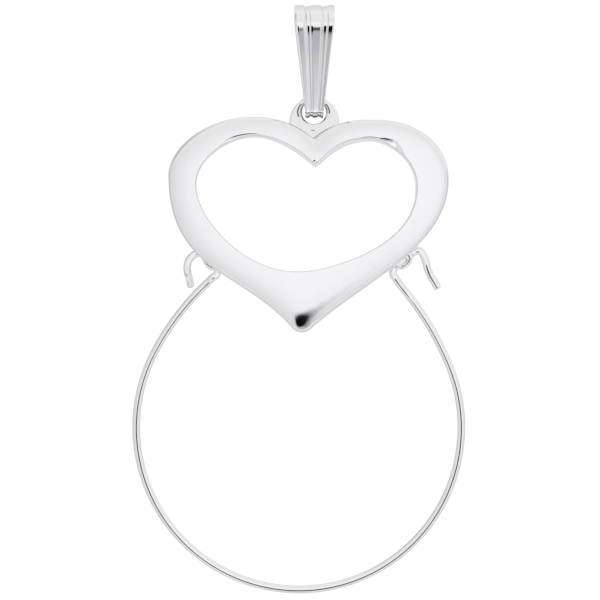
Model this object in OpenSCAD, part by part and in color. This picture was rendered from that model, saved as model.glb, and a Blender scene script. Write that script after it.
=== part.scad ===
// Heart charm holder: a fluted bail, an open heart frame with two eyelets on its back,
// and a round charm wire that hooks through the eyelets. It hangs by the bail.
// Millimetres, +Z up, the front faces -Y. The origin is the inside of the bail's top bend,
// where a necklace chain bears.

/* [Charm wire] */
// Diameter of the round wire
wire_d = 0.7; // [0.6:0.02:0.72]
// Radius of the big circle, to the middle of the wire
ring_r = 14.13; // [13.8:0.01:14.4]
// Sides of the wire's faceted round
wire_sides = 10; // [8:1:12]

/* [Heart] */
// Height of the straight edge wall above the flat back
edge_wall = 0.85; // [0.7:0.05:1]
// Radius of the rounded edge between the wall and the face
edge_round = 0.3; // [0.2:0.05:0.35]
// Rise of the face from its outer edge to its crest, which runs beside the opening
dome_rise = 0.32; // [0.2:0.02:0.5]
// Distance over which the face levels out, from its outer edge
dome_fade = 0.7; // [0.3:0.05:0.9]
// Slope of the opening's wall at the top of the lobes, measured across the thickness
wall_slope = 0.2; // [0.05:0.05:0.25]
// Depth of the flat back behind the hinge line
back_y = 0.4; // [0.38:0.02:0.6]

/* [Top loop] */
// Thickness of the loop tab, front to back
tab_t = 0.76; // [0.7:0.02:0.78]
// Radius of the tab's round outline
tab_r = 2.17; // [2:0.05:2.2]
// Radius of the hole that the bail passes through
tab_hole_r = 1.04; // [1:0.01:1.06]
// Flare of the hole towards each face of the tab
hole_flare = 0.3; // [0.2:0.02:0.32]
// Height of the web above the hole, which hangs in the bail
web_h = 0.48; // [0.4:0.02:0.5]

/* [Bail] */
// Width across the top bend
bail_w = 3.5; // [3:0.1:3.6]
// Width at the bottom fold
bail_end_w = 1.58; // [1.4:0.02:1.62]
// Half the bail's depth at the top bend, outside
bail_half_depth = 2.37; // [2.2:0.01:2.45]
// Height of the top bend inside, from where the legs are widest apart
bail_top_h = 1.33; // [1.2:0.01:1.5]
// Inner radius of the bottom fold
bail_fold_r = 0.4; // [0.38:0.01:0.45]
// Thickness of the strip at its ribs
bail_t = 0.42; // [0.36:0.02:0.44]
// Depth of the two grooves between the ribs
groove_depth = 0.16; // [0.08:0.02:0.18]

/* [Eyelets] */
// Radius of an eyelet, to the middle of its round wire
eyelet_r = 0.72; // [0.68:0.01:0.76]
// Diameter of the eyelet's own wire
eyelet_t = 0.34; // [0.28:0.02:0.36]

/* [Hidden] */
$fn = 48;

// Places and clearances
bail_x = 0.03;
hole_widen = 0.32;
hole_raise = 0.15;
hole_face_r = 1.16;
bail_fold_z = -8.6;
tab_x = 0.03;
tab_z = -9.74;
tab_hole = [0, -8.9];
eyelet_z = -21.77;
left_eyelet_x = -8.94;
right_eyelet_x = 7.72;
foot_r = 0.26;
foot_reach = 0.76;
foot_lean = 15;
// Depth that an eyelet's foot sinks into the heart's back
foot_sink = 0.3;
// Overlap of a cut past the face that it opens
cut = 0.01;
running_gap = 0.2;
leg_gap = 0.3;
leg_y = back_y + leg_gap + wire_d / 2;
eyelet_front_y = leg_y + wire_d / 2 + running_gap;
eyelet_mid_y = eyelet_front_y + eyelet_t / 2;
tail_y = eyelet_front_y + eyelet_t + running_gap + wire_d / 2;
ring_x = -1.32;
ring_z = -36.25;
// The wire is bent so that its circle leans back a little from the eyelets.
ring_lean = 3.2;

// Curves: each outline runs clockwise through a few nodes. A node's row holds its place, the
// heading of the outline as it arrives and as it leaves, and the reach of the curve's handles.
X = 0;
Z = 1;
ARRIVE = 2;
LEAVE = 3;
REACH_IN = 4;
REACH_OUT = 5;
//             x       z      arrive leave  in    out
outer_rows = [
    [-0.05, -11.15,    0,   38,  0.0,  2.65], // notch between the lobes
    [ 5.25,  -9.55,    0,    0,  1.55, 3.6],  // top of the right lobe
    [11.7,  -14.8,   -90,  -90,  3.3,  5.8],  // widest place on the right
    [-0.25, -27.72, -138, -138,  6.1,  0.62], // right end of the rounded tip
    [-1.85, -27.7,   131,  131,  0.62, 6.7],  // left end of the rounded tip
    [-12.65, -14.35,  90,   90,  8.5,  2.1],  // widest place on the left
    [-5.2,   -9.3,     0,    0,  4.65, 3.15], // top of the left lobe
    [-0.05, -11.15,  -24,    0,  0.6,  0.0],  // back at the notch
];
inner_rows = [
    [ 0.15, -13.65,    0,   38,  0.0,  1.5],  // point of the notch, in the opening
    [ 4.95, -11.45,    0,    0,  2.55, 1.05], // top of the right lobe
    [ 8.8,  -15.5,   -90,  -90,  2.75, 3.6],  // widest place on the right
    [ 1.0,  -22.4,  -165, -165,  4.6,  0.85], // low place right of the middle
    [-1.55, -22.72,  180,  180,  0.85, 4.5],  // lowest place of the opening
    [-10.2, -15.25,   90,   90,  2.9,  2.45], // widest place on the left
    [-5.2,  -11.1,     0,    0,  1.95, 2.2],  // top of the left lobe
    [ 0.15, -13.65,  -43,    0,  1.2,  0.0],  // back at the point
];
// Stations along the curve that leaves each row.
row_stations = [9, 12, 16, 6, 17, 12, 10];

// Hooks, as places from the middle of an eyelet, from the tail's tip to the big circle.
//              x      z      y
left_hook = [
    [-1.78, -2.2,  -1.5],
    [-1.82, -1.95, -1.0],
    [-1.93, -1.48, -0.32],
    [-2.06, -0.95, -0.07],
    [-2.08, -0.43,  0],
    [-1.95,  0.0,   0],
    [-1.65,  0.39,  0],
    [-1.22,  0.65,  0],
    [-0.75,  0.55,  0],
    [-0.4,   0.24,  0],
];
right_hook = [
    [3.09, -2.44, 0.17],
    [2.74, -1.83, 0.13],
    [2.42, -1.31, 0.08],
    [2.16, -0.70, 0.03],
    [2.03, -0.18, 0],
    [1.86,  0.34, 0],
    [1.57,  0.78, 0],
    [1.2,   0.86, 0],
    [0.78,  0.58, 0],
    [0.4,   0.22, 0],
];
//             x      z
left_rise = [[0.30, -0.24], [0.56, -0.68], [0.52, -1.18], [0.1, -1.52]];
right_rise = [[-0.34, -0.28], [-0.72, -0.62], [-0.86, -1.1], [-0.56, -1.66]];
// Half the length of the wire's straight run through an eyelet
through = 0.22;
// Angles of the big circle's two ends, and of the places where its legs start to straighten
left_circle_from = 238;
right_circle_to = -54;
left_flare_from = 208;
right_flare_from = -22;
// Growth of the radius beyond those places, in mm for a degree squared
left_flare = 0.00082;
right_flare = 0.00097;
circle_step = 5;
hook_steps = 3;

// Small functions
function along(a) = [cos(a), sin(a)];
function bezier(p, q, r, s, t) =
    pow(1 - t, 3) * p + 3 * t * pow(1 - t, 2) * q + 3 * t * t * (1 - t) * r + pow(t, 3) * s;
function place(row) = [row[X], row[Z]];
function between(a, b, t) = bezier(
    place(a),
    place(a) + a[REACH_OUT] * along(a[LEAVE]),
    place(b) - b[REACH_IN] * along(b[ARRIVE]),
    place(b),
    t);
function outline(rows) = [
    for (i = [0:len(rows) - 2])
    for (j = [0:row_stations[i] - 1])
    between(rows[i], rows[i + 1], j / row_stations[i])
];
function unit(v) = v / norm(v);
function turned_left(v) = [-v[1], v[0]];
// The notch is a corner, so its normal is the mean of its two sides' normals.
function normal_at(points, i) = let(n = len(points))
    turned_left(unit(points[(i + 1) % n] - points[(i + n - 1) % n]));
function catmull(a, b, c, d, t) =
    0.5 * (2 * b + (c - a) * t + (2 * a - 5 * b + 4 * c - d) * t * t
        + (3 * b - a - 3 * c + d) * pow(t, 3));
function smooth(points, steps) = let(n = len(points)) concat(
    [for (i = [0:n - 2]) for (j = [0:steps - 1]) catmull(
        points[max(i - 1, 0)], points[i], points[i + 1], points[min(i + 2, n - 1)], j / steps)],
    [points[n - 1]]);

// Faces of a skin that closes on itself both ways, for rows x columns of points.
function torus_faces(rows, columns) = [
    for (i = [0:rows - 1])
    for (j = [0:columns - 1])
    let(a = i * columns + j, b = i * columns + (j + 1) % columns,
        c = ((i + 1) % rows) * columns + (j + 1) % columns, d = ((i + 1) % rows) * columns + j)
    each [[a, c, b], [a, d, c]]
];

// Heart: a band between the two outlines, flat behind. Its face rises from the outer edge and
// levels out towards the opening.
// A profile point is a share of the way across, an extra distance in mm, and a height.
edge_steps = 3;
face_steps = 5;
function edge_arc(side) = [
    for (i = [0:edge_steps])
    let(a = 90 * (side > 0 ? i : edge_steps - i) / edge_steps)
    [side > 0 ? 0 : 1, side * edge_round * (1 - cos(a)), edge_wall + edge_round * sin(a)]
];
function face_points() = [
    for (i = [1:face_steps - 1])
    let(f = pow(i / face_steps, 1.5))
    [f, edge_round * (1 - 2 * f), edge_wall + edge_round]
];
band_profile = concat([[0, 0, 0]], edge_arc(1), face_points(), edge_arc(-1), [[1, 0, 0]]);
function dome(u) = dome_rise * (1 - exp(-u / dome_fade));
outer_points = outline(outer_rows);
inner_points = outline(inner_rows);
function opened(i) = let(n = normal_at(inner_points, i)) n * wall_slope * (1 + n[1]);
function band_point(i, p) = let(
        from = outer_points[i],
        to = inner_points[i] + (p[2] > 0 ? opened(i) : [0, 0]),
        q = from + p[0] * (to - from) + p[1] * unit(to - from),
        height = p[2] > 0 ? p[2] + dome(norm(q - from)) : 0)
    [q[0], back_y - height, q[1]];
module heart_band() {
    rows = len(outer_points);
    columns = len(band_profile);
    points = [for (i = [0:rows - 1]) for (p = band_profile) band_point(i, p)];
    polyhedron(points, torus_faces(rows, columns), convexity = 8);
}

// A tab fills the notch; its web hangs in the bail.
module top_loop() {
    web_r = tab_hole_r + web_h;
    difference() {
        translate([0, tab_t / 2, 0])
        rotate([90, 0, 0])
        linear_extrude(tab_t)
        union() {
            translate([tab_x, tab_z]) circle(r = tab_r);
            translate(tab_hole) circle(r = web_r);
        }
        translate([tab_hole[0], 0, tab_hole[1]]) {
            rotate([90, 0, 0]) cylinder(r = tab_hole_r, h = 2 * tab_t, center = true);
            for (side = [-90, 90], shift = [-hole_widen, hole_widen])
                rotate([side, 0, 0])
                translate([shift, side / 90 * hole_raise, tab_t / 2 - hole_flare])
                cylinder(r1 = tab_hole_r - hole_widen, r2 = hole_face_r, h = hole_flare + cut);
        }
    }
}

// An eyelet stands off the heart's back on a foot at its inner side.
module eyelet(x, foot_angle) {
    translate([x, eyelet_mid_y, eyelet_z])
    rotate([90, 0, 0])
    rotate_extrude()
    translate([eyelet_r, 0])
    circle(d = eyelet_t);
    foot = foot_reach * along(foot_angle);
    translate([x + foot[0], eyelet_mid_y + eyelet_t / 3, eyelet_z + foot[1]])
    rotate([90, 0, 0])
    cylinder(r = foot_r, h = eyelet_mid_y - back_y + eyelet_t / 3 + foot_sink);
}

module heart_frame() {
    color("gainsboro") {
        heart_band();
        top_loop();
        eyelet(left_eyelet_x, 90 - foot_lean);
        eyelet(right_eyelet_x, 90 + foot_lean);
    }
}

// Bail: a closed strip. An oval bend at the top runs through a wide arc into each leg, and the
// legs close on a small fold. All of it is drawn for the front half, and mirrored behind.
bail_in_depth = bail_half_depth - bail_t;
leg_arc_r = 2.4;
arc_mid_y = leg_arc_r - bail_in_depth;
leg_h = -bail_top_h - bail_fold_z;
leg_slope = atan2(leg_h, arc_mid_y)
    - acos((leg_arc_r - bail_fold_r) / norm([arc_mid_y, leg_h]));
top_steps = 7;
arc_steps = 3;
leg_steps = 4;
fold_steps = 5;
// A station is the place of the strip's inner side, as y and z, and the way that its outer side
// faces: 90 is up, 0 is to the front and -90 is down.
function oval(a) = let(t = atan2(bail_top_h * sin(a), bail_in_depth * cos(a)))
    [-bail_in_depth * cos(t), -bail_top_h + bail_top_h * sin(t), a];
function arc(y, z, r, a) = [y - r * cos(a), z + r * sin(a), a];
arc_end = arc(arc_mid_y, -bail_top_h, leg_arc_r, -leg_slope);
fold_start = arc(0, bail_fold_z, bail_fold_r, -leg_slope);
front_stations = concat(
    [for (i = [0:top_steps]) oval(90 - 90 * i / top_steps)],
    [for (i = [1:arc_steps - 1]) arc(arc_mid_y, -bail_top_h, leg_arc_r, -leg_slope * i / arc_steps)],
    [for (i = [0:leg_steps - 1]) arc_end + (fold_start - arc_end) * i / leg_steps],
    [for (i = [0:fold_steps])
        arc(0, bail_fold_z, bail_fold_r, -leg_slope - (90 - leg_slope) * i / fold_steps)]);
last_front = len(front_stations) - 1;
bail_stations = concat(
    [for (i = [last_front:-1:0]) front_stations[i]],
    [for (i = [1:last_front - 1]) let(s = front_stations[i]) [-s[0], s[1], 180 - s[2]]]);
// Across the strip: share of the half width and share of the groove depth cut away.
rib_rows = [
    [-1, 0.9], [-0.97, 0.25], [-0.86, 0], [-0.5, 0.1], [-0.44, 0.8], [-0.4, 1], [-0.34, 0.7],
    [-0.26, 0.5], [-0.2, 0.1], [-0.16, 0], [0.3, 0.3], [0.37, 0.9], [0.42, 1], [0.48, 0.7],
    [0.6, 0.5], [0.68, 0.1], [0.74, 0], [0.9, 0], [0.98, 0.25], [1, 0.9]
];
// The strip's plain inner side, as shares of the half width
inside_columns = [1, 0.4, -0.4, -1];
function half_width_at(z) = let(t = (-bail_top_h - z) / (bail_fold_r - bail_top_h - bail_fold_z))
    0.5 * (bail_w + (bail_end_w - bail_w) * max(0, min(1, t)));
function bail_point(s, across, height) = let(
        y = s[0] - height * cos(s[2]),
        z = s[1] + height * sin(s[2]))
    [bail_x + half_width_at(z) * across, y, z];
module bail() {
    section = concat(
        [for (r = rib_rows) [r[0], bail_t - groove_depth * r[1]]],
        [for (f = inside_columns) [f, 0]]);
    points = [for (s = bail_stations) for (p = section) bail_point(s, p[0], p[1])];
    color("silver")
    polyhedron(points, torus_faces(len(bail_stations), len(section)), convexity = 6);
}

// Wire: one path from the left tail's tip to the right tail's tip.
function flare(a) =
    left_flare * pow(max(0, a - left_flare_from), 2)
    + right_flare * pow(max(0, right_flare_from - a), 2);
function circle_place(a) = let(r = ring_r + flare(a))
    [ring_x + r * cos(a), leg_y, ring_z - r * sin(a)];
function leaned(p) = [p[0], p[1] + (eyelet_z - p[2]) * tan(ring_lean), p[2]];
function tail(rows, x) = [for (r = rows) [x + r[0], tail_y + r[2], eyelet_z + r[1]]];
function run_through(x) = [
    for (s = [1, 0, -1]) [x, eyelet_mid_y + s * through, eyelet_z]
];
function rise(rows, x) = [for (r = rows) [x + r[0], leg_y, eyelet_z + r[1]]];
function flipped(v) = [for (i = [len(v) - 1:-1:0]) v[i]];
circle_points = [
    for (a = [left_circle_from:-circle_step:right_circle_to]) leaned(circle_place(a))
];
left_points = concat(tail(left_hook, left_eyelet_x), run_through(left_eyelet_x),
    rise(left_rise, left_eyelet_x));
right_points = concat(tail(right_hook, right_eyelet_x), run_through(right_eyelet_x),
    rise(right_rise, right_eyelet_x));
wire_path = concat(
    smooth(concat(left_points, [circle_points[0]]), hook_steps),
    [for (i = [1:len(circle_points) - 2]) circle_points[i]],
    flipped(smooth(concat(right_points, [circle_points[len(circle_points) - 1]]), hook_steps)));
function heading(path, i) = unit(path[min(i + 1, len(path) - 1)] - path[max(i - 1, 0)]);
// The section's first direction is carried along the path without twisting about it.
function carried(n, t) = unit(n - (n * t) * t);
function carry(path, i, n) = i == len(path) ? [] :
    let(m = carried(n, heading(path, i))) concat([m], carry(path, i + 1, m));
module ring_wire() {
    count = len(wire_path);
    start_side = [1, 0, 0.3];
    firsts = carry(wire_path, 0, start_side);
    points = [
        for (i = [0:count - 1])
        let(t = heading(wire_path, i), u = firsts[i], v = cross(t, u))
        for (j = [0:wire_sides - 1])
        wire_path[i] + wire_d / 2 * (u * cos(360 * j / wire_sides) + v * sin(360 * j / wire_sides))
    ];
    skin = [
        for (i = [0:count - 2])
        for (j = [0:wire_sides - 1])
        let(a = i * wire_sides + j, b = i * wire_sides + (j + 1) % wire_sides)
        each [[a, b + wire_sides, b], [a, a + wire_sides, b + wire_sides]]
    ];
    start_cap = [[for (j = [0:wire_sides - 1]) j]];
    end_cap = [[for (j = [0:wire_sides - 1]) count * wire_sides - 1 - j]];
    color("lightgray")
    polyhedron(points, concat(skin, start_cap, end_cap), convexity = 6);
}

bail();
heart_frame();
ring_wire();
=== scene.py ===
from math import acos, atan2, cos, pi, radians, sin, tan

import bpy
import numpy as np
from mathutils import Matrix, Vector
from mathutils.geometry import interpolate_bezier


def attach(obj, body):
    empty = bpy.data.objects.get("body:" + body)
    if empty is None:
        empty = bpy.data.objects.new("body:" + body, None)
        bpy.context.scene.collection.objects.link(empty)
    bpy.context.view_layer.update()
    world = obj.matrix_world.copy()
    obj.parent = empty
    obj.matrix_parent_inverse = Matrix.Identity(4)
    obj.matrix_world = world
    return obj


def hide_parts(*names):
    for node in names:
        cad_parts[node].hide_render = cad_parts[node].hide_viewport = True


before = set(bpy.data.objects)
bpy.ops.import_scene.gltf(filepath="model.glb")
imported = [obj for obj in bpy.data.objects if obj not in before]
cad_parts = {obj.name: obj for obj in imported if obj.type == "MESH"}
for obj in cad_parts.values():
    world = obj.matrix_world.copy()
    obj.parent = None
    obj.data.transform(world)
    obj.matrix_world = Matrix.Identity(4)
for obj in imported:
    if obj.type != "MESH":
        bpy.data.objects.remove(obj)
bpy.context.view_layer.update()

# Heart frame. One casting of sterling silver, flat behind and puffed in front, filed and buffed
# until its edges are soft and its face is a mirror. Filing has left a narrow bevel under the top
# of each lobe, and has rounded the face down at the point of the notch.
mm = 0.001
back_y = 0.4 * mm
back_round = 0.08 * mm
edge_wall = 0.85 * mm
edge_round = 0.3 * mm
notch_round, notch_half = 0.12 * mm, 2.2 * mm
opening_round = 0.09 * mm
# How high the face puffs up from each side, and how soon. The right side does so sooner at its top.
left_puff, left_fade = 0.05 * mm, 1.6 * mm
left_edge_puff, left_edge_fade = 0.122 * mm, 0.493 * mm
right_puff, right_fade_top, right_fade_low = 0.175 * mm, 0.4 * mm, 0.76 * mm
fade_top_z, fade_low_z = -17 * mm, -23 * mm
side_run = 3 * mm
# The long soft dip that the file has left at the tip, and the way that it runs, in degrees.
tip_dip, tip_dip_fade, tip_dip_soft = 0.4 * mm, 1.333 * mm, 1.025 * mm
tip_dip_at, tip_dip_way, tip_dip_squeeze = np.array([-2.81, -29.909]) * mm, 47, 5.0
# The point of the notch: how the face rounds down there, and how far its outline is softened.
nose_r, nose_half, nose_most = 1.0 * mm, 0.24 * mm, 0.5 * mm
nose_x, nose_z = 0.035 * mm, -12.98 * mm
nose_reach, nose_rounding = 0.9 * mm, 50
bevel_tilt = tan(radians(17))
bevel_low_z, bevel_blend = -16 * mm, 1 * mm
bevel_straight = 40
heart_detail = 6
# The bevel's width along each lobe, and how soft its upper crease is, all in mm.
bevel_rows = [
    (-8.55, -0.05, 0.02), (-8.2, 0.16, 0.03), (-7.8, 0.24, 0.04), (-7.1, 0.27, 0.045),
    (-6.4, 0.24, 0.035), (-5.7, 0.21, 0.02), (-5.0, 0.17, 0.012), (-4.5, 0.1, 0.01),
    (-4.0, -0.05, 0.01), (3.9, -0.05, 0.01), (4.3, 0.12, 0.01), (5.2, 0.17, 0.012),
    (5.7, 0.2, 0.02), (6.0, 0.27, 0.05), (6.4, 0.37, 0.07), (6.9, 0.49, 0.06), (7.15, 0.5, 0.04),
    (7.5, 0.38, 0.03), (8.0, -0.05, 0.02),
]
# How far the wall of the opening runs out under the face, by the place across the heart, in mm.
wall_rows = [
    (-9, 0.06), (-6.5, 0.07), (-4.5, 0.08), (-3.0, 0.11), (-1.2, 0.15), (0.1, 0.11), (1.4, 0.2),
    (3.0, 0.17), (4.4, 0.14), (5.5, 0.1), (7.0, 0.08), (9, 0.13),
]
# The two outlines in mm, with the ways that a curve arrives and leaves, in degrees, and how far it
# holds each.
ARRIVE, LEAVE, REACH_IN, REACH_OUT = range(2, 6)
#    x      z    arrive leave in   out
outer_rows = [
    (0.01, -11.1, 0, 38, 0.0, 2.6),
    (5.25, -9.55, 0, 0, 1.55, 3.6),
    (11.7, -14.8, -90, -90, 3.3, 5.8),
    (-0.25, -27.72, -138, -138, 6.1, 0.62),
    (-1.85, -27.7, 131, 131, 0.62, 6.7),
    (-12.65, -14.35, 90, 90, 8.5, 2.1),
    (-5.2, -9.3, 0, 0, 4.65, 3.15),
    (-0.11, -11.12, -24, -24, 0.55, 0.04),
    (0.01, -11.1, 38, 0, 0.04, 0.0),
]
inner_rows = [
    (0.3, -13.6, 0, 38, 0.0, 1.3),
    (4.95, -11.45, 0, 0, 2.55, 1.05),
    (8.8, -15.5, -90, -90, 2.75, 3.6),
    (1.0, -22.4, -165, -165, 4.6, 0.85),
    (-1.55, -22.72, 180, 180, 0.85, 4.5),
    (-10.2, -15.25, 90, 90, 2.9, 2.45),
    (-5.2, -11.1, 0, 0, 1.95, 2.2),
    (-0.1, -13.58, -43, -43, 1.0, 0.18),
    (0.3, -13.6, 38, 0, 0.18, 0.0),
]
row_stations = [9, 12, 16, 6, 17, 12, 10, 2]


def along(degrees):
    return Vector((cos(radians(degrees)), sin(radians(degrees))))


def outline(rows):
    line = []
    for a, b, count in zip(rows, rows[1:], row_stations):
        start, end = Vector(a[:2]), Vector(b[:2])
        leave = start + a[REACH_OUT] * along(a[LEAVE])
        arrive = end - b[REACH_IN] * along(b[ARRIVE])
        line += interpolate_bezier(start, leave, arrive, end, count * heart_detail + 1)[:-1]
    return np.array([(p[0], p[1]) for p in line]) * mm


def unit(vectors):
    return vectors / np.linalg.norm(vectors, axis=-1, keepdims=True)


def into_metal(line):
    ahead = unit(np.roll(line, -1, axis=0) - np.roll(line, 1, axis=0))
    return np.column_stack([-ahead[:, 1], ahead[:, 0]])


def distance_to(places, line):
    step = np.diff(line, axis=0)
    share = ((places[:, None] - line[:-1]) * step).sum(-1) / (step**2).sum(-1)
    nearest = line[:-1] + np.clip(share, 0, 1)[..., None] * step
    return np.linalg.norm(places[:, None] - nearest, axis=-1).min(1)


def rounded(distance, radius):
    return np.sqrt(1 - (1 - np.clip(distance / radius, 0, 1)) ** 2)


def eased(share):
    share = np.clip(share, 0, 1)
    return share**2 * (3 - 2 * share)


outer = outline(outer_rows)
inner_back = outline(inner_rows)
inner_normal = into_metal(inner_back)
wall_x, wall_run = np.array(wall_rows).T * mm
wall_slope = np.interp(inner_back[:, :1], wall_x, wall_run)
# The wall runs out most where it faces down, and not at all where it faces up.
inner = inner_back + inner_normal * wall_slope * (1 + inner_normal[:, 1:])
at_nose = np.exp(-((inner[:, :1] - nose_x) ** 2 + (inner[:, 1:] - nose_z) ** 2) / nose_reach**2)
# Softened a little all round, and much more at the point of the notch.
for i in range(nose_rounding):
    softer = (np.roll(inner, 1, axis=0) + 2 * inner + np.roll(inner, -1, axis=0)) / 4
    inner = softer if i < heart_detail else inner + (softer - inner) * at_nose
# The two sides, each run on straight past the rounded tip, so that their slopes meet cleanly.
right_end = sum(row_stations[:3]) * heart_detail
left_start = sum(row_stations[:4]) * heart_detail
right_beyond = outer[right_end] + side_run * np.array(along(outer_rows[3][ARRIVE]))
left_before = outer[left_start] - side_run * np.array(along(outer_rows[4][LEAVE]))
right_side = np.vstack([outer[: right_end + 1], right_beyond])
left_side = np.vstack([left_before, outer[left_start:], outer[:1]])
rim = np.vstack([outer, outer[:1]])
opening = np.vstack([inner, inner[:1]])
bevel_x, bevel_w, bevel_soft = np.array(bevel_rows).T * mm


def face_height(places):
    """How far the face stands before the heart's back at each place."""
    x, z = places.T
    right, left = distance_to(places, right_side), distance_to(places, left_side)
    inward = distance_to(places, opening)
    right_fade = right_fade_low + (right_fade_top - right_fade_low) * eased(
        (z - fade_low_z) / (fade_top_z - fade_low_z))
    height = edge_wall + left_puff * (1 - np.exp(-left / left_fade))
    height += left_edge_puff * (1 - np.exp(-left / left_edge_fade))
    height += right_puff * (1 - np.exp(-right / right_fade))
    at_top = eased((z - bevel_low_z) / bevel_blend)
    round_r = edge_round + (notch_round - edge_round) * at_top * np.exp(-((x / notch_half) ** 4))
    height += edge_round - round_r * (1 - rounded(distance_to(places, rim), round_r))
    height -= opening_round * (1 - rounded(inward, opening_round))
    soft = np.interp(x, bevel_x, bevel_soft)
    over = (np.interp(x, bevel_x, bevel_w) - inward) / soft
    height -= bevel_tilt * at_top * soft * np.log1p(np.exp(np.minimum(over, bevel_straight)))
    from_dip = places - tip_dip_at
    dip_way = np.array(along(tip_dip_way))
    lengthwise, crosswise = from_dip @ dip_way, from_dip @ np.array([-dip_way[1], dip_way[0]])
    far = np.sqrt(lengthwise**2 + (crosswise * tip_dip_squeeze) ** 2 + tip_dip_soft**2)
    height -= tip_dip * np.exp(-far / tip_dip_fade)
    below = np.clip(nose_z - z, 0, nose_most) * np.exp(-(((x - nose_x) / nose_half) ** 2))
    height -= at_top * below**2 / (2 * nose_r)
    return height


# The columns across the band: over the outer edge, across the face and up to the opening's rim.
arc_steps = 7
arc_reach = [edge_round * (1 - cos(pi / 2 * i / arc_steps)) for i in range(arc_steps + 1)]
edge_reach = [0.36, 0.44, 0.56]
opening_reach = [
    0.56, 0.48, 0.42, 0.37, 0.33, 0.29, 0.25, 0.21, 0.175, 0.14, 0.11, 0.08, 0.055, 0.035, 0.018,
    0.006, 0]
face_columns = 14
width = np.linalg.norm(inner - outer, axis=1)[:, None]
across = unit(inner - outer)
spare = width - (edge_reach[-1] + opening_reach[0]) * mm
reaches = [np.full_like(width, r) for r in arc_reach + [e * mm for e in edge_reach]]
reaches += [edge_reach[-1] * mm + spare * i / face_columns for i in range(1, face_columns)]
reaches += [width - r * mm for r in opening_reach]
columns = []
for reach in reaches:
    places = outer + across * reach
    columns.append(np.insert(places, 1, back_y - face_height(places), axis=1))
back_steps = 4


def back_edge(line, inward, step):
    turn = pi / 2 * step / back_steps
    places = line + inward * back_round * (1 - cos(turn))
    return np.insert(places, 1, back_y - back_round * (1 - sin(turn)), axis=1)


columns += [back_edge(inner_back, inner_normal, i) for i in range(back_steps + 1)]
columns += [back_edge(outer, -into_metal(outer), i) for i in range(back_steps, -1, -1)]
heart_grid = np.stack(columns, axis=1)


def closed_skin(grid, ends=False):
    """Vertices and faces of a grid of rows whose columns close on themselves, and whose rows
    close too unless it has ends."""
    rows, count = grid.shape[:2]
    faces = []
    for i in range(rows - 1 if ends else rows):
        for j in range(count):
            here, there = i * count, (i + 1) % rows * count
            k = (j + 1) % count
            faces.append((here + j, here + k, there + k, there + j))
    if ends:
        faces.append(tuple(range(count - 1, -1, -1)))
        faces.append(tuple((rows - 1) * count + j for j in range(count)))
    return grid.reshape(-1, 3), faces


def piece(name, skins, finishes, body):
    """A mesh of one or more closed skins, which rides on a body. It has the first finish all
    over, until some of its faces are given another."""
    points, faces = [], []
    for skin_points, skin_faces in skins:
        first = len(points)
        points += [tuple(p) for p in skin_points]
        faces += [tuple(first + v for v in f) for f in skin_faces]
    mesh = bpy.data.meshes.new(name)
    mesh.from_pydata(points, [], faces)
    mesh.validate()
    mesh.shade_smooth()
    for finish in finishes:
        mesh.materials.append(finish)
    made = bpy.data.objects.new(name, mesh)
    bpy.context.scene.collection.objects.link(made)
    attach(made, body)
    return made


def outward(points, faces):
    """The same skin with its faces turned so that it encloses a positive volume."""
    p = np.asarray(points)
    volume = 0
    for a, b, c, d in [f for f in faces if len(f) == 4]:
        volume += np.dot(p[a], np.cross(p[b], p[c])) + np.dot(p[a], np.cross(p[c], p[d]))
    return points, faces if volume > 0 else [tuple(reversed(f)) for f in faces]


def linear(hex_colour):
    channels = [int(hex_colour[i : i + 2], 16) / 255 for i in (1, 3, 5)]
    return [c / 12.92 if c <= 0.04045 else ((c + 0.055) / 1.055) ** 2.4 for c in channels] + [1]


def add_node(tree, kind, inputs=None, **settings):
    node = tree.nodes.new(kind)
    for name, value in settings.items():
        setattr(node, name, value)
    for name, value in (inputs or {}).items():
        socket = node.inputs[name]
        if isinstance(value, bpy.types.NodeSocket):
            tree.links.new(value, socket)
        else:
            socket.default_value = value
    return node


def silver_finish(name, colour, buff_mm, buff_depth_mm, wave_mm, wave_depth_mm, smooth, rough):
    """Sterling silver: a grain of buffing marks, a slow waviness left by the file, and gloss that
    varies a little with the grain. Real marks are finer, and are drawn as coarse as they need to
    be to show."""
    finish = bpy.data.materials.new(name)
    finish.use_nodes = True
    tree = finish.node_tree
    shader = tree.nodes["Principled BSDF"]
    shader.inputs["Base Color"].default_value = linear(colour)
    shader.inputs["Metallic"].default_value = 1
    place = add_node(tree, "ShaderNodeTexCoord").outputs["Object"]
    buff_scale = [1 / (b * mm) for b in buff_mm]
    stretched = add_node(tree, "ShaderNodeMapping", {"Vector": place, "Scale": buff_scale})
    buffing = add_node(
        tree, "ShaderNodeTexNoise",
        {"Vector": stretched.outputs["Vector"], "Scale": 1, "Detail": 3, "Roughness": 0.6})
    waves = add_node(
        tree, "ShaderNodeTexNoise", {"Vector": place, "Scale": 1 / (wave_mm * mm), "Detail": 1})
    gloss = add_node(
        tree, "ShaderNodeMapRange",
        {"Value": buffing.outputs["Fac"], "From Min": 0.3, "From Max": 0.7,
         "To Min": smooth, "To Max": rough})
    tree.links.new(gloss.outputs["Result"], shader.inputs["Roughness"])
    slow = add_node(
        tree, "ShaderNodeBump",
        {"Height": waves.outputs["Fac"], "Strength": 1, "Distance": wave_depth_mm * mm})
    fine = add_node(
        tree, "ShaderNodeBump",
        {"Height": buffing.outputs["Fac"], "Strength": 1, "Distance": buff_depth_mm * mm,
         "Normal": slow.outputs["Normal"]})
    tree.links.new(fine.outputs["Normal"], shader.inputs["Normal"])
    return finish


# Cast sterling silver, buffed on a soft wheel: a near-perfect mirror with faint cloudy waves.
cast_silver = silver_finish(
    "cast_sterling_silver_buffed", "#FAFAF9", buff_mm=(0.12, 0.12, 0.12), buff_depth_mm=0.00004,
    wave_mm=1.6, wave_depth_mm=0.0012, smooth=0.03, rough=0.07)
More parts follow.
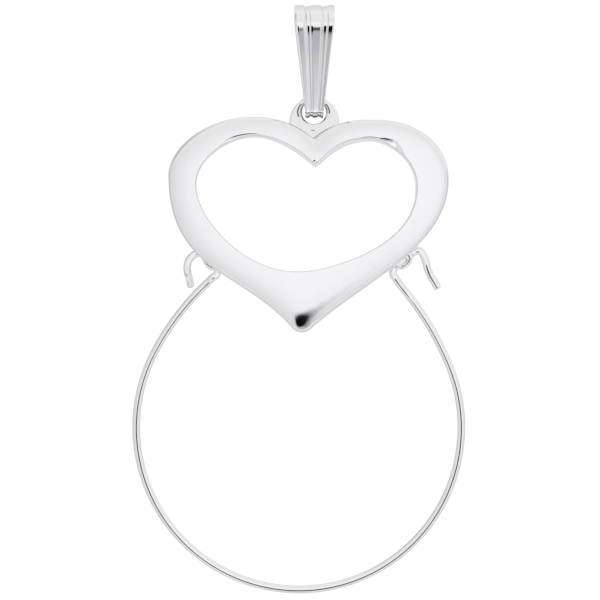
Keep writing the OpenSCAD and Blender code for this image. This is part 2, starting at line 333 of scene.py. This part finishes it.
# Silver where no wheel reaches: left rough and dull, with a dark grey colour that is painted shade, so
# it reads as a dark line.
painted_shade_silver = bpy.data.materials.new("silver_unbuffed_painted_shade")
painted_shade_silver.use_nodes = True
painted_shade_shader = painted_shade_silver.node_tree.nodes["Principled BSDF"]
painted_shade_shader.inputs["Metallic"].default_value = 1
grain_mm = 0.15
grain = add_node(
    painted_shade_silver.node_tree, "ShaderNodeTexNoise",
    {"Vector": add_node(painted_shade_silver.node_tree, "ShaderNodeTexCoord").outputs["Object"],
     "Scale": 1 / (grain_mm * mm), "Detail": 2})
# A colour mix takes its share at input 0, and its two colours at 6 and 7.
# Painted shade: the grain mixes two dark greys, which stand in for the shade in hollows, creases and
# seams.
painted_shade_mix = add_node(
    painted_shade_silver.node_tree, "ShaderNodeMix",
    {0: grain.outputs["Fac"], 6: linear("#3A3837"), 7: linear("#8C8A89")}, data_type="RGBA")
painted_shade_silver.node_tree.links.new(painted_shade_mix.outputs[2], painted_shade_shader.inputs["Base Color"])
painted_shade_shader.inputs["Roughness"].default_value = 0.4
heart = piece(
    "heart_band", [outward(*closed_skin(heart_grid))], [cast_silver, painted_shade_silver], "heart")
# Left dull, with painted shade, are a line along the opening's rim, and the soldered seam with the top
# loop.
shaded_rim_column = len(reaches) - 3
seam_left, seam_right, notch_low_z = -2.15 * mm, 1.75 * mm, -11.8 * mm
seam_columns = 2
for face in heart.data.polygons:
    column = face.index % len(columns)
    in_notch = seam_left < face.center.x < seam_right and face.center.z > notch_low_z
    if column == shaded_rim_column or (in_notch and column < seam_columns):
        face.material_index = 1
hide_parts("heart_frame")

# Top loop. A round tab of the same silver, flat and a little thinner at its top, soldered into the
# notch between the lobes. The hole that the bail passes through is worn wide to both sides, and a
# small nick lies below it.
tab_half = 0.38 * mm
tab_r = 2.17 * mm
tab_middle = np.array([0.03, -9.74]) * mm
hole_r = 1.04 * mm
hole_middle = np.array([0, -8.9]) * mm
web_r = hole_r + 0.48 * mm
flare_left_w, flare_right_w = 1.43 * mm, 1.34 * mm
flare_half_h = 1.09 * mm
tab_taper = tan(radians(4.5))
tab_round, tab_least = 0.16 * mm, 0.02 * mm
nick_at = np.array([-0.11, -10.48]) * mm
nick_half_w, nick_step, nick_run, nick_tail = 0.34 * mm, 0.022 * mm, 0.035 * mm, 0.28 * mm
# How far the painted shade reaches into the bore, and the band of it round the worn hollows beside the
# hole.
bore_left_x, bore_left_reach, bore_reach = -0.52 * mm, 0.06 * mm, 0.03 * mm
hollow_shade_reach, hollow_shade_high = 0.05 * mm, 0.72 * mm
hollow_shade_left_low, hollow_shade_right_low = -0.42 * mm, -0.12 * mm
loop_rows = 192
hole_steps = 8
rim_steps = 6
tab_face_columns = 60
loop_turn = np.linspace(0, 2 * pi, loop_rows, endpoint=False)
loop_way = np.column_stack([np.cos(loop_turn), np.sin(loop_turn)])
to_tab = hole_middle - tab_middle
side_on = loop_way @ to_tab
tab_reach = -side_on + np.sqrt(side_on**2 + tab_r**2 - to_tab @ to_tab)
loop_out = np.maximum(tab_reach, web_r)[:, None]
flare_half_w = np.where(loop_way[:, :1] < 0, flare_left_w, flare_right_w)
flare = 1 / np.hypot(loop_way[:, :1] / flare_half_w, loop_way[:, 1:] / flare_half_h)


def tab_face(reach):
    """Half the tab's thickness at a reach from the middle of the hole, with the nick cut in."""
    x = hole_middle[0] + loop_way[:, :1] * reach
    z = hole_middle[1] + loop_way[:, 1:] * reach
    beyond = 0.5 + 0.5 * np.tanh((nick_at[1] - z) / nick_run)
    sideways = np.exp(-(((x - nick_at[0]) / nick_half_w) ** 2))
    runs_out = np.exp(-np.maximum(0, nick_at[1] - z) / nick_tail)
    thick = tab_half - tab_taper * (z - tab_middle[1])
    return thick - nick_step * beyond * sideways * runs_out


loop_columns = []
for i in range(hole_steps + 1):
    turn = pi / 2 * i / hole_steps
    reach = hole_r + (flare - hole_r) * (1 - cos(turn))
    loop_columns.append((reach, tab_face(flare) * sin(turn)))
for i in range(1, tab_face_columns):
    reach = flare + i / tab_face_columns * (loop_out - tab_round - flare)
    loop_columns.append((reach, tab_face(reach)))
for i in range(rim_steps + 1):
    turn = pi / 2 * i / rim_steps
    reach = loop_out - tab_round * (1 - sin(turn))
    rise = np.maximum(tab_face(loop_out - tab_round) - tab_round * (1 - cos(turn)), tab_least)
    loop_columns.append((reach, rise))
loop_columns += [(reach, -rise) for reach, rise in reversed(loop_columns[1:])]
loop_places = []
for reach, rise in loop_columns:
    place = hole_middle + loop_way * reach
    loop_places.append(np.column_stack([place[:, 0], -rise, place[:, 1]]))
loop_grid = np.stack(loop_places, axis=1)
loop = piece(
    "top_loop", [outward(*closed_skin(loop_grid))], [cast_silver, painted_shade_silver], "heart")
# No wheel reaches into the hole, or the hollows that the bail has worn beside it: these get the dark
# grey finish, which is painted shade.
for face in loop.data.polygons:
    away = Vector((face.center.x - hole_middle[0], face.center.z - hole_middle[1]))
    on_left = away.x < 0
    half_w = flare_left_w if on_left else flare_right_w
    flare_edge = 1 / np.hypot(away.x / away.length / half_w, away.y / away.length / flare_half_h)
    worn_low = hollow_shade_left_low if on_left else hollow_shade_right_low
    in_hollow_shade = abs(away.length - flare_edge) < hollow_shade_reach and worn_low < away.y < hollow_shade_high
    in_bore = away.length < hole_r + (bore_left_reach if away.x < bore_left_x else bore_reach)
    if in_bore or in_hollow_shade:
        face.material_index = 1
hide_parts("heart_frame")

# Eyelets. Two small oval rings of silver wire lie along the heart's edge behind it, each on a
# short post that is soldered to its back. The charm wire hooks through them from front to back.
wire_r = 0.35 * mm
leg_y = back_y + 0.3 * mm + wire_r
eyelet_wire = 0.3 * mm
eyelet_half_l, eyelet_half_w = 0.78 * mm, 0.56 * mm
eyelet_gap = 0.22 * mm
eyelet_y = leg_y + wire_r + eyelet_gap + eyelet_wire / 2
eyelet_z = -21.77 * mm
left_eyelet_x, right_eyelet_x = -8.94 * mm, 7.72 * mm
eyelet_rows, eyelet_sides = 64, 20
inner_side = 0.6
foot_h = 0.1 * mm
post_out = 0.15 * mm
post_top = eyelet_y + 0.1 * mm
# The post's radius and its height over the heart's back, then its radius and depth under its own
# top, in mm. The widest rows are solder.
post_foot_rows = [(0.4, -0.1), (0.4, 0.02), (0.31, 0.1), (0.26, 0.22)]
post_top_rows = [(0.26, 0.1), (0.234, 0.03), (0.182, 0.0)]
post_profile = [(r * mm, back_y + h * mm) for r, h in post_foot_rows]
post_profile += [(r * mm, post_top - d * mm) for r, d in post_top_rows]


def lathe(profile, middle, rows=40):
    """A post round the Y axis, from (radius, y) pairs, closed at both ends."""
    turn = np.linspace(0, 2 * pi, rows, endpoint=False)
    grid = np.array(
        [[(middle[0] + r * cos(t), y, middle[1] + r * sin(t)) for t in turn] for r, y in profile])
    return closed_skin(grid, ends=True)


def wire_ring(x, edge_way):
    grid = []
    for t in np.linspace(0, 2 * pi, eyelet_rows, endpoint=False):
        row = []
        for s in np.linspace(0, 2 * pi, eyelet_sides, endpoint=False):
            reach = eyelet_wire / 2 * cos(s)
            place = Vector(((eyelet_half_l + reach) * cos(t), (eyelet_half_w + reach) * sin(t)))
            place.rotate(Matrix.Rotation(radians(edge_way), 2))
            row.append((x + place.x, eyelet_y + eyelet_wire / 2 * sin(s), eyelet_z + place.y))
        grid.append(row)
    return closed_skin(np.array(grid))


# Each side's post stands off by its lean, and its ring lies along the edge's way, in degrees.
for side, x, lean, edge_way in (("left", left_eyelet_x, 75, -56), ("right", right_eyelet_x, 105, 35)):
    turn = radians(lean - edge_way)
    post_reach = post_out + 1 / np.hypot(cos(turn) / eyelet_half_l, sin(turn) / eyelet_half_w)
    post = (x + post_reach * cos(radians(lean)), eyelet_z + post_reach * sin(radians(lean)))
    eyelet = piece(
        side + "_eyelet", [outward(*wire_ring(x, edge_way)), outward(*lathe(post_profile, post))],
        [cast_silver, painted_shade_silver], "heart")
    # The wheel reaches neither the inside of the ring nor the solder round the post's foot, and both
    # get the dark grey finish, which is painted shade.
    for face in eyelet.data.polygons:
        inward_x, inward_z = x - face.center.x, eyelet_z - face.center.z
        facing_in = face.normal.x * inward_x + face.normal.z * inward_z
        if facing_in > inner_side * np.hypot(inward_x, inward_z) or face.center.y < back_y + foot_h:
            face.material_index = 1

# Bail. A strip of sterling silver rolled with three ribs, tapered, folded round into a loop and
# closed at its small lower fold. The ribs' flats face the front and mirror what is before them,
# and the grooves between them show as bright lines.
bail_t = 0.42 * mm
groove_depth = 0.16 * mm
fold_shade_depth = 0.12 * mm
bail_in_depth = 1.95 * mm
bail_top_h = 1.18 * mm
leg_arc_r = 4.2 * mm
fold_r = 0.4 * mm
fold_z = -8.6 * mm
# Each leg bows out a little below the top bend, by this slope in radians.
leg_bow = 0.045
bail_w = 3.5 * mm
bail_end_w = 1.58 * mm
bail_x = 0.03 * mm
arc_mid_y = leg_arc_r - bail_in_depth
leg_h = -bail_top_h - fold_z
leg_slope = atan2(leg_h, arc_mid_y) - acos((leg_arc_r - fold_r) / np.hypot(arc_mid_y, leg_h))


def on_arc(y, z, r, turn):
    return (y - r * cos(turn), z + r * sin(turn), turn)


def on_oval(turn):
    t = atan2(bail_top_h * sin(turn), bail_in_depth * cos(turn))
    return (-bail_in_depth * cos(t), -bail_top_h + bail_top_h * sin(t), turn)


top_steps, arc_rows, leg_rows, fold_rows = 36, 14, 30, 26
arc_turn = leg_slope - leg_bow
arc_end = np.array(on_arc(arc_mid_y, -bail_top_h, leg_arc_r, -arc_turn))
fold_start = np.array(on_arc(0, fold_z, fold_r, -leg_slope))
front_rows = [on_oval(pi / 2 * (1 - i / top_steps)) for i in range(top_steps + 1)]
front_rows += [
    on_arc(arc_mid_y, -bail_top_h, leg_arc_r, -arc_turn * i / arc_rows) for i in range(1, arc_rows)]
for i in range(leg_rows):
    share = i / leg_rows
    y, z = (arc_end + (fold_start - arc_end) * share)[:2]
    bow = leg_bow * np.hypot(*(fold_start - arc_end)[:2]) * share * (1 - share) ** 3
    lean = leg_bow * (1 - share) ** 2 * (1 - 4 * share)
    front_rows.append((y - bow * cos(leg_slope), z - bow * sin(leg_slope), lean - leg_slope))
front_rows += [
    on_arc(0, fold_z, fold_r, -leg_slope - (pi / 2 - leg_slope) * i / fold_rows)
    for i in range(fold_rows + 1)]
bail_rows = front_rows[::-1] + [(-y, z, pi - turn) for y, z, turn in front_rows[1:-1]]

# Across the strip: share of the half width, and share of the groove's depth that is cut away.
rib_rows = [
    (-1.0, 1.0), (-0.985, 0.55), (-0.95, 0.3), (-0.88, 0.04), (-0.86, 0.0), (-0.8, 0.0),
    (-0.53, 0.14), (-0.51, 0.35), (-0.47, 1.0), (-0.44, 1.0), (-0.38, 0.62), (-0.36, 0.6),
    (-0.24, 0.6), (-0.23, 0.64), (-0.21, 0.64), (-0.19, 0.02), (-0.17, 0.0), (-0.08, 0.0),
    (0.335, 0.192), (0.355, 0.45), (0.39, 1.0), (0.42, 1.0), (0.455, 0.52), (0.47, 0.5),
    (0.63, 0.5), (0.64, 0.56), (0.67, 0.56), (0.7, 0.02), (0.72, 0.0), (0.94, 0.0), (0.955, 0.03),
    (0.98, 0.25), (1.0, 1.0),
]
rib_columns, inside_columns = 161, 9
rib_share = np.linspace(-1, 1, rib_columns)
rib_cut = np.interp(rib_share, *zip(*rib_rows))
buffed_over = np.array([1, 2, 1]) / 4
rib_cut[1:-1] = np.convolve(rib_cut, buffed_over, "valid")
strip_side = np.concatenate([rib_share, np.linspace(1, -1, inside_columns)])
strip_height = np.concatenate([bail_t - groove_depth * rib_cut, np.zeros(inside_columns)])


def bail_half_width(z):
    share = (-bail_top_h - z) / (fold_r - bail_top_h - fold_z)
    return 0.5 * (bail_w + (bail_end_w - bail_w) * min(1, max(0, share)))


bail_grid = []
for y, z, turn in bail_rows:
    row = []
    for share, height in zip(strip_side, strip_height):
        level = z + height * sin(turn)
        row.append((bail_x + bail_half_width(level) * share, y - height * cos(turn), level))
    bail_grid.append(row)
# Rolled strip silver, drawn and buffed lengthwise: a mirror with hair-fine lines down its length.
strip_silver = silver_finish(
    "rolled_sterling_strip_buffed", "#FAFAF9", buff_mm=(0.05, 0.9, 0.9), buff_depth_mm=0.00003,
    wave_mm=1.2, wave_depth_mm=0.0006, smooth=0.03, rough=0.07)
bail = piece(
    "fluted_bail", [outward(*closed_skin(np.array(bail_grid)))], [strip_silver, painted_shade_silver],
    "bail")
# Painted shade: the wheel misses two bands of the ribs where they turn under at the fold, and these
# get the dark grey finish, in degrees below level.
fold_shade_bands = [(24, 30), (54, 68)]
for face in bail.data.polygons:
    x, y, z = face.center
    down = atan2(fold_z - z, abs(y)) * 180 / pi
    on_rib = np.hypot(y, z - fold_z) > fold_r + bail_t - fold_shade_depth
    if z < fold_z and on_rib and any(low < down < high for low, high in fold_shade_bands):
        face.material_index = 1
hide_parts("bail")

# Charm wire. One length of round, hard-drawn silver wire: a big circle whose legs rise behind the
# heart, pass back through the eyelets and end in two curled tails. Charms thread onto the circle.
ring_r = 14.13 * mm
ring_x = -1.32 * mm
ring_z = -36.25 * mm
ring_lean = 3.2
tail_y = leg_y + 2 * wire_r + 2 * eyelet_gap + eyelet_wire
through = 0.22 * mm
# Each hook from the end of its tail, as x, z and y from the middle of the eyelet, in mm.
left_hook = [
    (-1.78, -2.2, -1.5), (-1.82, -1.95, -1.0), (-1.93, -1.48, -0.32), (-2.06, -0.95, -0.07),
    (-2.08, -0.43, 0), (-1.95, 0.0, 0), (-1.65, 0.39, 0), (-1.22, 0.65, 0), (-0.75, 0.55, 0),
    (-0.4, 0.24, 0),
]
right_hook = [
    (3.09, -2.44, 0.17), (2.74, -1.83, 0.13), (2.42, -1.31, 0.085), (2.16, -0.7, 0.03),
    (2.03, -0.18, 0), (1.86, 0.34, 0), (1.57, 0.78, 0), (1.2, 0.86, 0), (0.78, 0.58, 0),
    (0.4, 0.22, 0),
]
# Each leg from the eyelet down to the circle, as x and z.
left_rise = [(0.3, -0.24), (0.56, -0.68), (0.52, -1.18), (0.1, -1.52)]
right_rise = [(-0.34, -0.28), (-0.72, -0.62), (-0.86, -1.1), (-0.56, -1.66)]
left_circle_from, right_circle_to = 238, -54
left_flare_from, right_flare_from = 208, -22
left_flare, right_flare = 0.00082 * mm, 0.00097 * mm
circle_step = 5
smooth_steps = 6
wire_sides = 40
left_end_round, right_end_round = 0.3 * mm, 0.06 * mm
end_steps, end_clear = 5, 1.2
# The section's power: 2 would be round, and more makes the wire's front and back flatter.
front_flat = 3.2
least_front = 0.01
first_side = (0.0, 1.0, 0.2)


def circle_place(a):
    r = ring_r + left_flare * max(0, a - left_flare_from) ** 2
    r += right_flare * max(0, right_flare_from - a) ** 2
    z = ring_z - r * sin(radians(a))
    return (ring_x + r * cos(radians(a)), leg_y + (eyelet_z - z) * tan(radians(ring_lean)), z)


def side_path(hook, rise, x):
    tail = [(x + a * mm, tail_y + c * mm, eyelet_z + b * mm) for a, b, c in hook]
    run = [(x, eyelet_y + s * through, eyelet_z) for s in (1, 0, -1)]
    leg = [(x + a * mm, leg_y, eyelet_z + b * mm) for a, b in rise]
    return tail + run + leg


def smooth_path(points):
    p = np.array([points[0]] + points + [points[-1]])
    path = []
    for a, b, c, d in zip(p, p[1:], p[2:], p[3:]):
        for t in np.arange(smooth_steps) / smooth_steps:
            path.append(
                0.5 * (2 * b + (c - a) * t + (2 * a - 5 * b + 4 * c - d) * t**2
                       + (3 * b - a - 3 * c + d) * t**3))
    return np.array(path + [p[-1]])


circle = [circle_place(a) for a in range(left_circle_from, right_circle_to - 1, -circle_step)]
wire_path = smooth_path(
    side_path(left_hook, left_rise, left_eyelet_x) + circle
    + side_path(right_hook, right_rise, right_eyelet_x)[::-1])


def sweep(path, radius, sides, round_start, round_end):
    """A wire along a path, with each end's rim rounded over by that much."""
    heading = unit(np.gradient(path, axis=0))
    side = unit(np.cross(heading[0], first_side))
    rows = []
    turn = np.linspace(0, 2 * pi, sides, endpoint=False)
    for here, way in zip(path, heading):
        side = unit(side - (side @ way) * way)
        rows.append((here, way, side, np.cross(way, side)))

    def ring(row, r, shift):
        here, way, u, v = row
        spokes = np.outer(np.cos(turn), u) + np.outer(np.sin(turn), v)
        front = np.array((0.0, 1.0, 0.0)) - way[1] * way
        facing = np.minimum(np.abs(spokes @ front) / max(np.linalg.norm(front), least_front), 1)
        square = (facing**front_flat + (1 - facing**2) ** (front_flat / 2)) ** (-1 / front_flat)
        swell = 1 + (square - 1) * (front @ front) ** 2
        return here + shift * way + r * swell[:, None] * spokes

    def rounded_end(row, rounding, inward):
        rings = []
        for i in range(end_steps):
            lift = pi / 2 * i / end_steps
            shift = inward * rounding * (1 - cos(lift))
            rings.append(ring(row, radius - rounding * (1 - sin(lift)), shift))
        return rings

    start, end = rounded_end(rows[0], round_start, 1), rounded_end(rows[-1], round_end, -1)
    middle = []
    for row in rows:
        past_start = np.linalg.norm(row[0] - path[0]) > round_start * end_clear
        past_end = np.linalg.norm(row[0] - path[-1]) > round_end * end_clear
        if past_start and past_end:
            middle.append(ring(row, radius, 0))
    return np.array(start + middle + end[::-1])


# Hard-drawn sterling wire, buffed after it is bent: a mirror with a faint waviness.
drawn_silver = silver_finish(
    "drawn_sterling_wire_polished", "#FAFAF9", buff_mm=(0.2, 0.2, 0.2), buff_depth_mm=0.00003,
    wave_mm=1.0, wave_depth_mm=0.0004, smooth=0.03, rough=0.08)
wire_grid = sweep(wire_path, wire_r, wire_sides, left_end_round, right_end_round)
wire = piece(
    "charm_wire", [outward(*closed_skin(wire_grid, ends=True))], [drawn_silver], "charm_ring")
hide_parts("ring_wire")

# Light tent. White cloth surrounds the jewel, greyer to the sides and below, and the camera looks
# in through a small dark opening a little under the middle of its front wall. It is the dark
# opening that polished silver shows as a black spot or line.
tent = bpy.data.worlds.new("light_tent")
bpy.context.scene.world = tent
tent.use_nodes = True
tree = tent.node_tree
tree.nodes.clear()
parts = add_node(
    tree, "ShaderNodeSeparateXYZ",
    {"Vector": add_node(tree, "ShaderNodeTexCoord").outputs["Generated"]}).outputs
forward = add_node(tree, "ShaderNodeMath", {0: parts["Y"], 1: -1}, operation="MULTIPLY").outputs[0]
from_front = add_node(tree, "ShaderNodeMath", {0: forward}, operation="ARCCOSINE").outputs[0]
half_turns = add_node(tree, "ShaderNodeMath", {0: from_front, 1: pi}, operation="DIVIDE").outputs[0]
# The cloth's colour by the angle from the front, in degrees.
cloth_colours = {
    "left": [
        (0, "#F4F3F8"), (3, "#EBEAEF"), (7, "#E3E3E7"), (12, "#DEDEE1"), (20, "#D8D8DB"),
        (30, "#D8D8DB"), (45, "#DEDEE1"), (65, "#D8D8DB"), (95, "#BEBEC1"), (120, "#C4C4C7"),
        (138, "#DCDCDE"), (150, "#E2E2E4"), (162, "#E0E0E2"), (172, "#DCDCDF"), (180, "#D8D8DB")],
    "right": [
        (0, "#F6F5FA"), (8, "#F1F0F5"), (13, "#EEEDF2"), (19, "#E9E8ED"), (25, "#DEDDE2"),
        (35, "#DDDCE1"), (60, "#E4E3E8"), (95, "#C8C8CC"), (120, "#CCCCCF"), (138, "#DEDEE0"),
        (150, "#E2E2E4"), (162, "#E0E0E2"), (172, "#DCDCDF"), (180, "#D8D8DB")],
    "top": [
        (0, "#F4F4F6"), (5, "#EBEBEC"), (10, "#E7E7E7"), (20, "#E4E4E4"), (45, "#E7E7E7"),
        (90, "#EAEAEA"), (120, "#E2E2E2"), (138, "#DADADA"), (150, "#D6D6D6"), (162, "#D8D8D9"),
        (172, "#D8D8DB"), (180, "#D8D8DB")],
}
cloths = {}
for side, stops in cloth_colours.items():
    ramp = add_node(tree, "ShaderNodeValToRGB", {"Fac": half_turns})
    points = ramp.color_ramp.elements
    for degrees, colour in stops[1:-1]:
        points.new(degrees / 180)
    for point, (degrees, colour) in zip(points, stops):
        point.position = degrees / 180
        point.color = linear(colour)
    cloths[side] = ramp.outputs["Color"]
cloth = cloths["left"]
for side, axis, low, high in (("right", "X", -0.1, 0.12), ("top", "Z", 0.02, 0.3)):
    share = add_node(
        tree, "ShaderNodeMapRange", {"Value": parts[axis], "From Min": low, "From Max": high},
        interpolation_type="SMOOTHSTEP")
    cloth = add_node(
        tree, "ShaderNodeMix", {0: share.outputs["Result"], 6: cloth, 7: cloths[side]},
        data_type="RGBA").outputs[2]
# Other places in the tent: azimuth and elevation of the middle, half width and half height in
# degrees, where each starts and ends to fade in shares of those, the fade's power, the colour.
# They are a fold of the cloth at the upper left, three reflectors below the camera, its grey
# stand, and its dark opening with the lens.
places = [
    (-75, 38, 63, 50, 0.1, 1.0, 1.0, "#B0B0B2"),
    (0, -40, 26, 7, 0.3, 1.2, 1.0, "#FFFFFF"),
    (14, -30, 10, 9, 0.2, 1.2, 1.0, "#FFFFFF"),
    (-15, -30, 10, 9, 0.2, 1.2, 1.0, "#FFFFFF"),
    (2, -19.5, 10, 10, 0.4, 1.35, 1.0, "#B1B1B8"),
    (0.5, -9, 3.4, 4, 0.4, 1.25, 1.0, "#3C3C40"),
    (0.75, -12.5, 4.3, 5.6, 0.98, 1.8, 3.5, "#08090C"),
]
azimuth = add_node(tree, "ShaderNodeMath", {0: parts["X"], 1: forward}, operation="ARCTAN2").outputs[0]
elevation = add_node(tree, "ShaderNodeMath", {0: parts["Z"]}, operation="ARCSINE").outputs[0]
for middle_a, middle_e, half_w, half_h, full, none, power, colour in places:
    reach = []
    for angle, middle, half in ((azimuth, middle_a, half_w), (elevation, middle_e, half_h)):
        away = add_node(tree, "ShaderNodeMath", {0: angle, 1: radians(middle)}, operation="SUBTRACT")
        reach.append(add_node(
            tree, "ShaderNodeMath", {0: away.outputs[0], 1: radians(half)}, operation="DIVIDE"))
    both = add_node(
        tree, "ShaderNodeCombineXYZ", {"X": reach[0].outputs[0], "Y": reach[1].outputs[0]})
    far = add_node(
        tree, "ShaderNodeVectorMath", {0: both.outputs["Vector"]}, operation="LENGTH")
    share = add_node(
        tree, "ShaderNodeMapRange",
        {"Value": far.outputs["Value"], "From Min": none, "From Max": full},
        interpolation_type="SMOOTHSTEP")
    share = add_node(
        tree, "ShaderNodeMath", {0: share.outputs["Result"], 1: power}, operation="POWER")
    cloth = add_node(
        tree, "ShaderNodeMix", {0: share.outputs[0], 6: cloth, 7: linear(colour)},
        data_type="RGBA").outputs[2]
seen = add_node(tree, "ShaderNodeLightPath").outputs["Is Camera Ray"]
shown = add_node(
    tree, "ShaderNodeMix", {0: seen, 6: cloth, 7: linear("#FFFFFF")}, data_type="RGBA").outputs[2]
tent_strength = 1.047
glow = add_node(tree, "ShaderNodeBackground", {"Color": shown, "Strength": tent_strength})
add_node(tree, "ShaderNodeOutputWorld", {"Surface": glow.outputs["Background"]})

# Floor. A round sheet of matt white paper lies well below the hanging jewel, and a softbox high
# above it lights it evenly.
floor_r = 0.45
floor_z = -0.4
floor_points = 96
bpy.ops.mesh.primitive_circle_add(
    vertices=floor_points, radius=floor_r, fill_type="NGON", location=(0, 0, floor_z))
floor = bpy.context.object
floor.name = "floor_sheet"
# Matt white paper: an even, pale ground without gloss.
paper = bpy.data.materials.new("matt_white_paper")
paper.use_nodes = True
paper_shader = paper.node_tree.nodes["Principled BSDF"]
paper_shader.inputs["Base Color"].default_value = linear("#DCDCDE")
paper_shader.inputs["Roughness"].default_value = 0.9
floor.data.materials.append(paper)
softbox_size, softbox_watts = 0.6, 3
softbox_place = (0, -0.1, 0.8)
softbox = bpy.data.lights.new("softbox", "AREA")
softbox.shape = "DISK"
softbox.size = softbox_size
softbox.energy = softbox_watts
softbox_lamp = bpy.data.objects.new("softbox", softbox)
softbox_lamp.location = softbox_place
softbox_lamp.visible_glossy = False
bpy.context.scene.collection.objects.link(softbox_lamp)

# Camera. A long lens 1.2 m away, square on to the heart and level with its lower part, framed as
# the photograph is.
frame_w = 52.08 * mm
frame_middle_x, frame_middle_z = -1.215 * mm, -25.2 * mm
camera_back = 1.2
camera_data = bpy.data.cameras.new("camera")
camera_data.sensor_width = 36
camera_data.lens = camera_data.sensor_width * camera_back / frame_w
camera_data.clip_end = 10
camera = bpy.data.objects.new("camera", camera_data)
camera.location = (frame_middle_x, -camera_back, frame_middle_z)
camera.rotation_euler = (pi / 2, 0, 0)
bpy.context.scene.collection.objects.link(camera)
bpy.context.scene.camera = camera
bpy.context.scene.view_settings.view_transform = "Standard"
